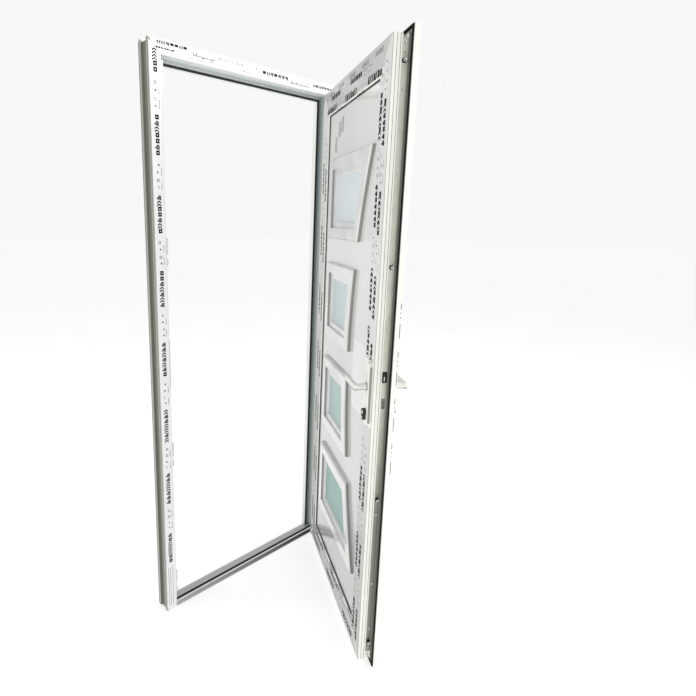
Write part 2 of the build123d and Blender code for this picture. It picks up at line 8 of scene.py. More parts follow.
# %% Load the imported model
import json
import random
from math import cos, radians, sin

import bmesh
import bpy
from mathutils import Matrix, Vector


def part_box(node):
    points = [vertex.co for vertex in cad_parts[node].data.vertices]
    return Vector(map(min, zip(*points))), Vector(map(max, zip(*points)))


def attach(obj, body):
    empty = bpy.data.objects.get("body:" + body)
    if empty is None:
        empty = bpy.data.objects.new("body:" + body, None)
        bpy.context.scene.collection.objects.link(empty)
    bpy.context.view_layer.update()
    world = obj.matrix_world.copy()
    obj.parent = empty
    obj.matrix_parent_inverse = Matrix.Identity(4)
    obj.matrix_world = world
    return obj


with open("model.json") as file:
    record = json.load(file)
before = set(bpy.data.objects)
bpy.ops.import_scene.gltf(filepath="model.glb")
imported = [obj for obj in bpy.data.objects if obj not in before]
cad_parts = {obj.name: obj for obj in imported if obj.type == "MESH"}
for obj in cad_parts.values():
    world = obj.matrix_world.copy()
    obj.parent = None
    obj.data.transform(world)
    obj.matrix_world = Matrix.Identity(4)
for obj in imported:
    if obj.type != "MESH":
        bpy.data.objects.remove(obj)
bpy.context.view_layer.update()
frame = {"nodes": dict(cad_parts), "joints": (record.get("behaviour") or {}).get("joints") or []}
nodes = frame["nodes"]
mm = 0.001
scene = bpy.context.scene

# %% [markdown]
# ## Where the leaf is
# The leaf is stored open, turned about its hinge pins. Pieces for it are easiest to draw closed,
# flat against the frame, and then turned by the same angle. So the turn is worked out once from
# the swing joint: its lower limit is the closed leaf. The leaf's own sizes are then measured on the
# closed bars, without the flange that stands out past them on the room side.

# %% The leaf's turn
swing = next(j for j in frame["joints"] if j["name"] == "leaf_swing")
open_angle = radians(-swing["range_deg"][0])
pin = Vector((swing["pos_m"][0], swing["pos_m"][1], 0))
about_pin = Matrix.Rotation(open_angle, 4, "Z")
leaf_turn = Matrix.Translation(pin) @ about_pin @ Matrix.Translation(-pin)
leaf_shut = leaf_turn.inverted()
print("open by", round(swing["range_deg"][0]), "degrees about", tuple(round(v, 4) for v in pin))


def shut_box(node):
    """A leaf node's lowest and highest corners with the leaf closed."""
    corners = [leaf_shut @ v.co for v in nodes[node].data.vertices]
    low = Vector([min(c[i] for c in corners) for i in range(3)])
    high = Vector([max(c[i] for c in corners) for i in range(3)])
    return low, high


flange_reach = 22 * mm
stile_low, stile_high = shut_box("lock_stile")
shut_left = stile_low.x + flange_reach
shut_right = shut_box("hinge_stile")[1].x - flange_reach
leaf_low, leaf_high = stile_low.z + flange_reach, stile_high.z - flange_reach
leaf_room_y, leaf_outer_y = stile_low.y, stile_high.y
shut_sides = (shut_left, shut_right, leaf_low, leaf_high)
print("shut leaf", [round(v, 3) for v in shut_sides])

# %% [markdown]
# ## The camera
# The photographer stood to the left, close to the open leaf's edge, at about eye height, with a
# phone's wide lens tilted down. The camera's place and directions come from matching the frame's
# and leaf's corners to the picture, so the model falls on the same outline. A small shift stands
# for the crop of the picture.

# %% Place the camera
photo_size = 696
focal_pixels = 523.7
centre_x, centre_y = 277.6, 334.2
yaw, pitch, roll = 0.7494, 0.2177, 0.0162
stand = Vector((-1.3715, -1.6471, 1.5446))

forward = Vector((sin(yaw), cos(yaw), 0))
level_right = Vector((cos(yaw), -sin(yaw), 0))
upright = Vector((0, 0, 1))
view = forward * cos(pitch) - upright * sin(pitch)
view_up = upright * cos(pitch) + forward * sin(pitch)
right = level_right * cos(roll) + view_up * sin(roll)
up = view_up * cos(roll) - level_right * sin(roll)

camera_data = bpy.data.cameras.new("camera")
camera_data.sensor_width = 36
camera_data.lens = focal_pixels / photo_size * camera_data.sensor_width
camera_data.shift_x = (photo_size / 2 - centre_x) / photo_size
camera_data.shift_y = (centre_y - photo_size / 2) / photo_size
camera = bpy.data.objects.new("camera", camera_data)
turn = Matrix((right, up, -view)).transposed().to_4x4()
camera.matrix_world = Matrix.Translation(stand) @ turn
scene.collection.objects.link(camera)
scene.camera = camera
print("lens", round(camera_data.lens, 2), "mm")

# %% [markdown]
# ## The studio
# A plain pale floor and a pale room keep the door the only subject. The picture is bright: the
# faces towards the room are almost white, and the leaf's outer face, turned away, is a soft grey.
# A big soft lamp in front and to the right gives that. Weaker ones stand beside the photographer
# and outside on the left. The backdrop is paler than the light the room gives, and the floor
# shines a little by itself, so that both stay plain and pale.

# %% Floor, sky and lamps
scene.view_settings.view_transform = "Standard"


def lamp(name, place, target, width, height, power):
    """A soft rectangular lamp that looks at a target."""
    data = bpy.data.lights.new(name, "AREA")
    data.shape = "RECTANGLE"
    data.size = width
    data.size_y = height
    data.energy = power
    thing = bpy.data.objects.new(name, data)
    thing.location = place
    thing.rotation_euler = (Vector(target) - Vector(place)).to_track_quat("-Z", "Y").to_euler()
    scene.collection.objects.link(thing)


sky = bpy.data.worlds.new("pale_room")
scene.world = sky
sky.use_nodes = True
tree = sky.node_tree
room_light = tree.nodes["Background"]
room_light.inputs["Color"].default_value = (0.9, 0.93, 0.95, 1)
room_light.inputs["Strength"].default_value = 0.62
backdrop = tree.nodes.new("ShaderNodeBackground")
backdrop.inputs["Color"].default_value = (0.93, 0.935, 0.935, 1)
seen = tree.nodes.new("ShaderNodeLightPath")
either = tree.nodes.new("ShaderNodeMixShader")
tree.links.new(seen.outputs["Is Camera Ray"], either.inputs[0])
tree.links.new(room_light.outputs[0], either.inputs[1])
tree.links.new(backdrop.outputs[0], either.inputs[2])
tree.links.new(either.outputs[0], tree.nodes["World Output"].inputs["Surface"])
lamp("front_lamp", (2.2, -3.4, 3.0), (0.0, 0.0, 1.1), 2.4, 2.4, 95)
lamp("edge_lamp", (-2.0, -3.4, 1.9), (-0.1, -0.5, 1.1), 1.6, 2.4, 24)
lamp("left_lamp", (-3.6, 1.4, 2.4), (0.0, -0.3, 1.1), 2.2, 2.4, 42)

floor_mesh = bpy.data.meshes.new("studio_floor")
bm = bmesh.new()
bmesh.ops.create_grid(bm, x_segments=1, y_segments=1, size=40)
bm.to_mesh(floor_mesh)
bm.free()
floor = bpy.data.objects.new("studio_floor", floor_mesh)
scene.collection.objects.link(floor)
print("studio ready")

# %% [markdown]
# ## Colours and a base for every finish
# Most of this door is white plastic, so the finishes differ in gloss, in fine texture and in a
# slight tint more than in colour. One helper makes a Principled surface with constant values set
# on its own sockets; small helpers then add noise, colour variation and bump where a finish needs
# them. Patterns read Object coordinates, so they stay on the pieces when the leaf swings.

# %% Helpers for surfaces
compare_reach = 0.75 * mm


def tint(code):
    """A linear colour from a six digit web colour."""
    def linear(c):
        return c / 12.92 if c <= 0.04045 else ((c + 0.055) / 1.055) ** 2.4
    return tuple(linear(int(code[i:i + 2], 16) / 255) for i in (0, 2, 4)) + (1.0,)


class Finish:
    """A material being built: its Principled shader and a few ways to add texture."""

    def __init__(self, name, colour, roughness, metallic=0.0):
        self.material = bpy.data.materials.new(name)
        self.material.use_nodes = True
        self.tree = self.material.node_tree
        self.shader = self.tree.nodes["Principled BSDF"]
        self.set("Base Color", tint(colour))
        self.set("Roughness", roughness)
        self.set("Metallic", metallic)
        self.colour = colour

    def set(self, socket, value):
        """A constant on the shader's own socket."""
        self.shader.inputs[socket].default_value = value

    def node(self, kind, **values):
        """A new node with values on its inputs."""
        made = self.tree.nodes.new(kind)
        for key, value in values.items():
            made.inputs[key.replace("_", " ")].default_value = value
        return made

    def lacquer(self, weight, roughness):
        """A clear coat on top."""
        self.set("Coat Weight", weight)
        self.set("Coat Roughness", roughness)

    def link(self, start, end):
        self.tree.links.new(start, end)

    def place(self, stretch, turned):
        """Object coordinates, with the leaf turned shut where asked, stretched along an axis."""
        source = self.tree.nodes.new("ShaderNodeTexCoord").outputs["Object"]
        if turned:
            spin = self.node(
                "ShaderNodeMapping", Rotation=(0, 0, -turned), Location=leaf_shut.translation)
            self.link(source, spin.inputs["Vector"])
            source = spin.outputs["Vector"]
        scaled = self.node("ShaderNodeMapping", Scale=stretch)
        self.link(source, scaled.inputs["Vector"])
        return scaled.outputs["Vector"]

    def noise(self, scale, turned, detail, stretch=(1, 1, 1)):
        """Noise between 0 and 1."""
        made = self.node("ShaderNodeTexNoise", Scale=scale, Detail=detail)
        self.link(self.place(stretch, turned), made.inputs["Vector"])
        return made.outputs["Fac"]

    def ramp(self, source, low, high, start, end):
        """Colours from low to high as the source runs from start to end."""
        made = self.tree.nodes.new("ShaderNodeValToRGB")
        made.color_ramp.elements[0].position = start
        made.color_ramp.elements[0].color = low
        made.color_ramp.elements[1].position = end
        made.color_ramp.elements[1].color = high
        self.link(source, made.inputs["Fac"])
        return made.outputs["Color"]

    def mottle(self, source, other, start, end):
        """Lets the base colour drift to another one."""
        drift = self.ramp(source, tint(self.colour), tint(other), start, end)
        self.link(drift, self.shader.inputs["Base Color"])

    def sheen_drift(self, source, low, high):
        """Lets the roughness drift between two values."""
        made = self.node("ShaderNodeMapRange", To_Min=low, To_Max=high)
        self.link(source, made.inputs["Value"])
        self.link(made.outputs["Result"], self.shader.inputs["Roughness"])

    def axis(self, name, turned=0.0):
        """One Object coordinate, with the leaf shut where it is turned."""
        split = self.tree.nodes.new("ShaderNodeSeparateXYZ")
        self.link(self.place((1, 1, 1), turned), split.inputs["Vector"])
        return split.outputs[name]

    def math(self, operation, first, second=0.0):
        """One math node, fed by sockets or numbers. Compare allows its small reach."""
        made = self.tree.nodes.new("ShaderNodeMath")
        made.operation = operation
        made.inputs[2].default_value = compare_reach
        for socket, value in zip(made.inputs, (first, second)):
            if isinstance(value, (int, float)):
                socket.default_value = value
            else:
                self.link(value, socket)
        return made.outputs[0]

    def beyond(self, turned, left, right, low, high):
        """How far a point lies outside an upright rectangle in X and Z."""
        x, z = self.axis("X", turned), self.axis("Z", turned)
        spans = []
        for along, near, far in ((x, left, right), (z, low, high)):
            before, after = self.math("SUBTRACT", near, along), self.math("SUBTRACT", along, far)
            spans.append(self.math("MAXIMUM", before, after))
        return self.math("MAXIMUM", *spans)

    def below(self, turned, top, depth):
        """A mask that grows from 0 at one height to 1 at some depth below it."""
        return self.math("DIVIDE", self.math("SUBTRACT", top, self.axis("Z", turned)), depth)

    def line(self, along, value, colour):
        """Paints a thin line where a coordinate has one value."""
        self.repaint(self.math("COMPARE", along, value), colour)

    def repaint(self, mask, colour):
        """Mixes another colour over the base colour where the mask is 1."""
        made = self.tree.nodes.new("ShaderNodeMix")
        made.data_type = "RGBA"
        made.inputs[7].default_value = tint(colour)
        base = self.shader.inputs["Base Color"]
        if base.links:
            self.link(base.links[0].from_socket, made.inputs[6])
        else:
            made.inputs[6].default_value = base.default_value
        self.link(mask, made.inputs[0])
        self.link(made.outputs[2], base)

    def bump(self, source, strength, distance):
        """Small relief, one layer on top of the last."""
        made = self.node("ShaderNodeBump", Strength=strength, Distance=distance)
        self.link(source, made.inputs["Height"])
        socket = self.shader.inputs["Normal"]
        if socket.links:
            self.link(socket.links[0].from_socket, made.inputs["Normal"])
        self.link(made.outputs["Normal"], socket)


def dress(finish, names):
    """Gives a finish to CAD pieces."""
    for name in names:
        slots = nodes[name].data.materials
        if not slots:
            slots.append(finish.material)
        for i in range(len(slots)):
            slots[i] = finish.material


def pick(*starts):
    """Names of the CAD pieces that start with one of the given words."""
    return [n for n in nodes if n.startswith(starts)]


print("helpers ready")

# %% [markdown]
# ## White plastic
# Extruded plastic is smooth and a little waxy: light enters it slightly, and the die leaves very
# fine lines along the bar. Bare plastic shows in the rebates, on the lock edge and on the flange.
# The side that faces the wall is painted greyer, and its small grooves, the frame's rebate and the
# inside of its outer lip are painted shade; the rebate's roof in the head is painted lighter,
# painted light against its shade. The leaf's edge has three thin grooves along it, painted dark as
# shade. One coordinate picks such a narrow line: Compare is 1 where it lies within a small reach of
# the line.

# %% Bare plastic
def bare_plastic(name, colour, turned, along):
    """White plastic with faint die lines along one axis."""
    made = Finish(name, colour, 0.32)
    made.set("Specular IOR Level", 0.5)
    made.lacquer(0.12, 0.15)
    stretch = [260, 260, 260]
    stretch[along] = 1.2
    lines = made.noise(1.0, turned, 2.0, tuple(stretch))
    cloud = made.noise(3.0, turned, 4.0)
    made.mottle(cloud, "e4e4dc", 0.35, 0.75)
    made.sheen_drift(cloud, 0.26, 0.4)
    made.bump(lines, 0.25, 0.0002)
    return made


upright_plastic = bare_plastic("white_plastic_upright", "eeeee8", 0.0, 2)
level_plastic = bare_plastic("white_plastic_level", "eeeee8", 0.0, 0)
leaf_upright_plastic = bare_plastic("leaf_plastic_upright", "f6f5ec", open_angle, 2)
leaf_level_plastic = bare_plastic("leaf_plastic_level", "f6f5ec", open_angle, 0)
print("bare plastic ready")

# %% Painted shade in the leaf's grooves, and its flange
groove_depths = (0.4 * mm, 11 * mm, 21.5 * mm)
edge_wall, flange_start, flange_front_y = -1.9 * mm, 2 * mm, -40 * mm
for made in (leaf_upright_plastic, leaf_level_plastic):
    depth = made.axis("Y", open_angle)
    groove_shade = 0.0
    for below_face in groove_depths:
        line = made.math("COMPARE", depth, leaf_outer_y - below_face)
        groove_shade = made.math("MAXIMUM", groove_shade, line)
    outside = made.beyond(open_angle, *shut_sides)
    at_edge = made.math("GREATER_THAN", outside, edge_wall)
    # The grooves along the leaf's edge are painted dark as shade.
    made.repaint(made.math("MULTIPLY", groove_shade, at_edge), "a09d90")
    flange_front = made.math("COMPARE", depth, flange_front_y)
    on_flange = made.math("GREATER_THAN", outside, flange_start)
    made.repaint(made.math("MULTIPLY", flange_front, on_flange), "dcdbd3")
print(len(groove_depths), "grooves along the edge")

# %% Painted shade and light on the frame
wall_side_x, rebate_wall_x, rebate_roof_z, lip_inside_y = 442.5 * mm, 405 * mm, 2055 * mm, 15 * mm
painted_shade_lines = ((443 * mm, "66675b"), (446 * mm, "4b4c43"), (rebate_wall_x, "b2bab8"))
from_middle_x = upright_plastic.math("ABSOLUTE", upright_plastic.axis("X"))
# The wall side is painted greyer.
upright_plastic.repaint(upright_plastic.math("GREATER_THAN", from_middle_x, wall_side_x), "9fa195")
# Painted shade: the wall side's grooves are darkest, the rebate's wall greyer.
for line_x, colour in painted_shade_lines:
    upright_plastic.line(from_middle_x, line_x, colour)
# Painted light: the head's rebate roof is painted lighter against its shade.
level_plastic.line(level_plastic.axis("Z"), rebate_roof_z, "f2f4f1")
# Painted shade on the inside of the outer lip.
for made, colour in ((upright_plastic, "8e9a9a"), (level_plastic, "c9d0ce")):
    made.line(made.axis("Y"), lip_inside_y, colour)
dress(upright_plastic, ["lock_jamb", "hinge_jamb"])
dress(level_plastic, ["frame_head"])
dress(leaf_upright_plastic, ["lock_stile", "hinge_stile", "bead_lock_side", "bead_hinge_side"])
dress(leaf_level_plastic, ["top_rail", "bottom_rail", "bead_top", "bead_bottom"])
print("plastic on", len(pick("lock_", "hinge_", "bead_")), "pieces")

# %% [markdown]
# ## The panel
# The infill panel has a glossy skin over foam. Its reflections are slightly wavy, because such a
# thin skin is never quite flat, so a very weak large bump goes under the gloss. Its film makes it
# greyer and duller, and a painted reflection makes it darker towards the floor. Near the handle the
# film is left off, and the bare gloss there is painted brighter, a painted reflection of the handle
# plate.

# %% Glossy panel
bare_from_x, bare_middle_z, bare_half_height = -0.15, 1.0135, 0.1215
panel = Finish("glossy_panel", "b9b7b3", 0.2)
panel.lacquer(0.5, 0.04)
waves = panel.noise(2.2, open_angle, 2.0, (1, 1, 0.6))
height = panel.math("DIVIDE", panel.axis("Z"), 2)
painted_reflection = panel.math("ADD", height, panel.math("MULTIPLY", waves, 0.2))
# Painted reflection: darker towards the floor, with a little of the waves in it.
panel.mottle(painted_reflection, "e3e1dc", 0.2, 0.95)
near_handle = panel.math("LESS_THAN", panel.axis("X", open_angle), bare_from_x)
above_handle = panel.math("SUBTRACT", panel.axis("Z", open_angle), bare_middle_z)
level_with_handle = panel.math("LESS_THAN", panel.math("ABSOLUTE", above_handle), bare_half_height)
bare_and_reflection = panel.math("MULTIPLY", near_handle, level_with_handle)
# The bare patch beside the handle is painted brighter, a painted reflection of the handle plate.
panel.repaint(bare_and_reflection, "dfded9")
panel.sheen_drift(bare_and_reflection, 0.15, 0.07)
panel.bump(waves, 0.12, 0.01)
panel.bump(panel.noise(420, open_angle, 1.0), 0.05, 0.0002)
dress(panel, ["door_panel"])
print("bare gloss", round(2 * bare_half_height, 3), "m high at the handle")

# %% [markdown]
# ## Light surrounds
# The surrounds are moulded in a whiter plastic with a deep gloss. Their lock sides lie on one long
# arc over the leaf's whole height, and the upright walls there are painted grey as shade, so a mask
# with the arc's own centre and radius picks them out. The walls of the hinge side are straight, and
# a thin line of painted shade marks them.

# %% Moulded surrounds
arc_centre, arc_radius = Vector((-1813.5, 1028.5)) * mm, 1706.5 * mm
arc_margin, step_x = 0.8 * mm, 180 * mm
surround = Finish("moulded_surround", "e2e1de", 0.16)
surround.lacquer(0.4, 0.06)
flow = surround.noise(9.0, open_angle, 3.0)
surround.mottle(flow, "d0cecb", 0.4, 0.75)
surround.sheen_drift(flow, 0.12, 0.22)
x, z = surround.axis("X", open_angle), surround.axis("Z", open_angle)
from_centre = surround.math("POWER", surround.math("SUBTRACT", x, arc_centre.x), 2)
from_middle = surround.math("POWER", surround.math("SUBTRACT", z, arc_centre.y), 2)
reach = surround.math("SQRT", surround.math("ADD", from_centre, from_middle))
arc_wall_shade = surround.math("LESS_THAN", reach, arc_radius + arc_margin)
# The upright walls on the arc side are painted grey as shade.
surround.repaint(arc_wall_shade, "92918d")
# A thin line of painted shade on the hinge side's wall.
surround.line(x, step_x, "9a9996")
surround.bump(surround.noise(300, open_angle, 2.0), 0.06, 0.0002)
dress(surround, pick("light_surround"))
print(len(pick("light_surround")), "surrounds")

# %% [markdown]
# ## Frosted glass
# The lights are filled with a frosted, faintly green glass. Frosting scatters what is behind, so the
# surface is rough in transmission, and its edge colour is the green of ordinary glass. Higher up the
# glass is painted paler, a painted reflection of the bright room, so the lower lights look greener.

# %% Frosted glass
glass = Finish("frosted_glass", "94bbb4", 0.32)
glass.set("IOR", 1.5)
glass.set("Transmission Weight", 0.3)
grain = glass.noise(700, open_angle, 2.0)
# Painted reflection: paler higher up, greener low down.
glass.mottle(glass.math("DIVIDE", glass.axis("Z"), 2), "f4fafc", 0.24, 0.8)
glass.bump(grain, 0.2, 0.0003)
dress(glass, pick("glass_unit"))
print("glass on", len(pick("glass_unit")), "units")

# %% [markdown]
# ## Rubber, aluminium and steel
# Gaskets are matt black. The leaf's own gasket has a black lip, and beside it a grey-green foot
# along the edge that is painted shade for the shaded recess there. The threshold is mill finish
# aluminium with drawing lines along it, and its ramp gets painted shade towards the hinges, where
# the open leaf shades it. The lock gear is zinc plated, which has a faint green cast and dull
# patches, and it is painted darker towards the floor. Its rollers are of darker, oiled steel.

# %% Rubber
rubber = Finish("black_rubber", "141414", 0.62)
rubber.set("Specular IOR Level", 0.35)
rubber.mottle(rubber.noise(60, 0.0, 4.0), "242423", 0.45, 0.8)
rubber.bump(rubber.noise(900, 0.0, 2.0, (1, 1, 0.2)), 0.15, 0.0003)
dress(rubber, ["threshold_seal", "frame_gasket", "panel_gasket", "bead_gasket"])

shaded_foot_rubber = Finish("rubber_with_painted_shade_foot", "060606", 0.65)
shaded_foot_rubber.set("Specular IOR Level", 0.2)
shaded_foot_rubber.mottle(shaded_foot_rubber.noise(60, 0.0, 4.0), "121212", 0.45, 0.8)
foot_reach = 10 * mm
painted_shade_foot = shaded_foot_rubber.math("LESS_THAN", shaded_foot_rubber.beyond(open_angle, *shut_sides), foot_reach)
# The grey-green foot is painted shade, standing for the shaded recess beside the lip.
shaded_foot_rubber.repaint(painted_shade_foot, "83887d")
dress(shaded_foot_rubber, ["leaf_gasket"])
print("rubber gaskets:", [n for n in nodes if "gasket" in n])

# %% Aluminium
aluminium = Finish("mill_aluminium", "d2d2d1", 0.36, 0.65)
drawn = aluminium.noise(1.0, 0.0, 3.0, (1.5, 700, 700))
aluminium.sheen_drift(drawn, 0.26, 0.46)
aluminium.bump(drawn, 0.18, 0.0002)
aluminium.mottle(aluminium.noise(14, 0.0, 4.0, (0.3, 1, 1)), "c2c3c2", 0.4, 0.8)
ramp_y = -21.5 * mm
on_ramp = aluminium.math("LESS_THAN", aluminium.axis("Y"), ramp_y)
shade_to_hinges = aluminium.math("ADD", aluminium.axis("X"), 0.5)
# Painted shade: the ramp darkens towards the hinges, where the open leaf shades it.
aluminium.repaint(aluminium.math("MULTIPLY", on_ramp, shade_to_hinges), "262728")
dress(aluminium, ["threshold"])
print("aluminium on the threshold")

# %% Zinc plated steel
zinc = Finish("zinc_plated_steel", "cacabc", 0.4, 0.7)
patches = zinc.noise(90, open_angle, 5.0, (1, 1, 0.3))
zinc.mottle(patches, "b7b8a9", 0.45, 0.75)
# Painted darker towards the floor.
zinc.repaint(zinc.below(open_angle, 1.0, 0.4), "84857a")
zinc.sheen_drift(patches, 0.32, 0.5)
zinc.bump(zinc.noise(500, open_angle, 3.0, (1, 1, 0.1)), 0.12, 0.0002)
dress(zinc, ["lock_faceplate", "lock_case", "profile_cylinder", "spindle", "drive_rail"])
print("zinc on the lock gear")

# %% Rollers, keeps, bolt and latch
roller_steel = Finish("dark_roller_steel", "33332f", 0.4, 0.5)
roller_steel.mottle(roller_steel.noise(200, open_angle, 4.0), "45443f", 0.4, 0.7)
dress(roller_steel, ["lock_rollers"])

keep_steel = Finish("bright_keep_steel", "e3e3dd", 0.35, 0.4)
keep_steel.mottle(keep_steel.noise(140, 0.0, 4.0, (1, 1, 0.4)), "d3d3cc", 0.4, 0.7)
dress(keep_steel, ["centre_keep", "roller_keeps"])

dull_steel = Finish("dull_bolt_steel", "6f6c63", 0.45, 0.8)
dull_steel.mottle(dull_steel.noise(160, open_angle, 4.0, (1, 1, 0.4)), "8b887d", 0.4, 0.7)
dress(dull_steel, ["deadbolt"])

nylon = Finish("black_nylon", "1a1a1b", 0.38)
nylon.mottle(nylon.noise(120, open_angle, 2.0), "2a2a2b", 0.4, 0.7)
dress(nylon, ["latch_bolt"])
print("lock parts dressed")

# %% [markdown]
# ## White hinges, plates and levers
# Hinges, plates and levers are powder coated white, with the fine orange peel of such paint. The
# plates' narrow edge is painted grey as shade. The levers' underside is greyer, because the photo
# shows it in shade and soft studio light would wash that out.

# %% Powder coat
coat = Finish("white_powder_coat", "ebe9e2", 0.3)
coat.lacquer(0.25, 0.12)
coat.sheen_drift(coat.noise(25, open_angle, 3.0), 0.24, 0.38)
coat.bump(coat.noise(520, open_angle, 2.0), 0.22, 0.0004)
dress(coat, ["leaf_hinges", "frame_hinges", "hinge_pins"])

lever_coat = Finish("white_coat_on_levers", "dedcd6", 0.24)
lever_coat.lacquer(0.35, 0.08)
lever_coat.bump(lever_coat.noise(520, open_angle, 2.0), 0.15, 0.0003)
underside_z = 1022.5 * mm
underside = lever_coat.math("LESS_THAN", lever_coat.axis("Z", open_angle), underside_z)
lever_coat.repaint(underside, "a3a19b")
dress(lever_coat, ["lever_outer", "lever_inner"])

plate_coat = Finish("white_coat_with_painted_shade_edge", "ebe9e2", 0.3)
plate_coat.bump(plate_coat.noise(520, open_angle, 2.0), 0.22, 0.0004)
backset, plate_half_width = 35 * mm, 17.2 * mm
to_middle = plate_coat.math("SUBTRACT", plate_coat.axis("X", open_angle), shut_left + backset)
shaded_side = plate_coat.math("GREATER_THAN", plate_coat.math("ABSOLUTE", to_middle), plate_half_width)
# The plate's narrow edge is painted grey as shade.
plate_coat.repaint(shaded_side, "97948a")
dress(plate_coat, ["handle_plate_outer", "handle_plate_inner"])
print("finishes on every piece:", all(o.data.materials for o in nodes.values()))

# %% [markdown]
# ## The studio floor
# A matt, pale paint with faint clouds. It glows a little, so the horizon hardly shows.

# %% The floor's paint
ground = Finish("pale_floor", "e9e9e7", 0.6)
ground.set("Emission Color", tint("ffffff"))
ground.set("Emission Strength", 0.48)
ground.mottle(ground.noise(1.5, 0.0, 4.0), "e3e3e1", 0.3, 0.7)
floor_mesh.materials.append(ground.material)
print("floor painted")

# %% [markdown]
# ## Flat faces to work on
# Film, print, screws and weld beads all lie on flat faces. Each face gets its own axes: u runs
# along it, v across it, and w straight out of it. A face on the leaf is described with the leaf
# closed, and its axes are then turned open with the leaf, so every piece made on it is in place.

# %% Faces and small builders
half_width, frame_top, room_y = 450 * mm, 2100 * mm, -35 * mm
frame_face = 45 * mm
bar_face, room_bar_face = 94 * mm, 98 * mm
spindle_z, spindle_x = 1027 * mm, shut_left + backset
groove_y = leaf_room_y + 33.6 * mm


class Face:
    """A flat face with its own axes: u along, v across, w outwards."""

    def __init__(self, origin, along, across, on_leaf=False):
        u, v = Vector(along), Vector(across)
        axes = Matrix((u, v, u.cross(v))).transposed().to_4x4()
        self.place = Matrix.Translation(Vector(origin)) @ axes
        if on_leaf:
            self.place = leaf_turn @ self.place

    def at(self, u, v, w):
        """The face's own axes, moved to a point on it."""
        return self.place @ Matrix.Translation((u, v, w))

    def block(self, bm, u, v, w, slant=0.0):
        """A box between pairs of values, its sides leaning along u by slant times v."""
        middle = [(a + b) / 2 for a, b in (u, v, w)]
        lean = Matrix.Identity(4)
        lean[0][1] = slant
        size = Matrix.Diagonal((u[1] - u[0], v[1] - v[0], w[1] - w[0], 1))
        made = bmesh.ops.create_cube(bm, size=1, matrix=self.at(*middle) @ lean @ size)
        return made["verts"]

    def disc(self, bm, u, v, w, radius, segments=16, taper=1.0):
        """A short cylinder or cone that stands on the face."""
        made = bmesh.ops.create_cone(
            bm, cap_ends=True, segments=segments, radius1=radius, radius2=radius * taper,
            depth=w[1] - w[0], matrix=self.at(u, v, (w[0] + w[1]) / 2))
        return made["verts"]

    def cut(self, bm, point, normal):
        """Cuts a mesh along a line on the face, drops the side the normal points to, closes it."""
        out = self.place.to_3x3() @ Vector((*normal, 0))
        where = self.place @ Vector((*point, 0))
        geometry = bm.verts[:] + bm.edges[:] + bm.faces[:]
        cut = bmesh.ops.bisect_plane(
            bm, geom=geometry, plane_co=where, plane_no=out, clear_outer=True)
        edges = [g for g in cut["geom_cut"] if isinstance(g, bmesh.types.BMEdge)]
        bmesh.ops.holes_fill(bm, edges=edges, sides=0)


def piece(name, bm, finish, body, smooth=False):
    """Turns a finished bmesh into a named piece that rides on a body."""
    bmesh.ops.recalc_face_normals(bm, faces=bm.faces[:])
    mesh = bpy.data.meshes.new(name)
    bm.to_mesh(mesh)
    bm.free()
    mesh.materials.append(finish.material)
    if smooth:
        mesh.shade_smooth()
        mesh.set_sharp_from_angle(angle=radians(35))
    thing = bpy.data.objects.new(name, mesh)
    scene.collection.objects.link(thing)
    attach(thing, body)
    print(name, len(mesh.polygons), "faces")


up_z, down_z, to_left, to_right = (0, 0, 1), (0, 0, -1), (-1, 0, 0), (1, 0, 0)
lock_jamb_room = Face((-half_width + frame_face, room_y, 0), up_z, to_left)
hinge_jamb_room = Face((half_width, room_y, 0), up_z, to_left)
head_room = Face((half_width, room_y, frame_top), to_left, down_z)
stile_lock_out = Face((shut_left, leaf_outer_y, 0), up_z, to_right, True)
stile_hinge_out = Face((shut_right - bar_face, leaf_outer_y, 0), up_z, to_right, True)
rail_top_out = Face((shut_right, leaf_outer_y, leaf_high - bar_face), to_left, up_z, True)
rail_low_out = Face((shut_right, leaf_outer_y, leaf_low), to_left, up_z, True)
lock_edge = Face((shut_left, groove_y, 0), up_z, (0, 1, 0), True)
leaf_out = Face((spindle_x, leaf_outer_y, spindle_z), up_z, to_right, True)
leaf_in = Face((spindle_x, leaf_room_y, spindle_z), up_z, to_left, True)
print("faces ready, spindle at", round(spindle_x, 3), round(spindle_z, 3))

# %% [markdown]
# ## Protective film
# New white profiles arrive with a thin film on their show faces, and the door in the picture still
# wears it. The film stops short of every corner: the fitter peels it back there before the bars
# are welded, so a bare band is left on both sides of the weld. It is also cut away round the
# handle. Film is cloudy and slightly crinkled, and in the picture it gets greyer towards the
# floor, so a mask that grows downwards repaints it.

# %% Film finishes
frame_film = Finish("film_on_frame", "f2f3f2", 0.22)
frame_film.mottle(frame_film.noise(5, 0.0, 4.0, (1, 1, 0.4)), "e9ebea", 0.4, 0.8)
frame_film.bump(frame_film.noise(38, 0.0, 3.0, (1, 1, 0.25)), 0.12, 0.001)
jamb_film = Finish("film_on_hinge_jamb", "eef0ef", 0.22)
jamb_film.repaint(jamb_film.below(0.0, 1.5, 0.9), "b4b8b7")
leaf_film = Finish("film_on_leaf", "e2e0dc", 0.26)
leaf_film.mottle(leaf_film.noise(6, open_angle, 4.0, (1, 1, 0.4)), "d2d0cc", 0.4, 0.75)
leaf_film.repaint(leaf_film.below(open_angle, 1.5, 1.5), "b2b0ac")
leaf_film.bump(leaf_film.noise(38, open_angle, 3.0, (1, 1, 0.25)), 0.15, 0.001)
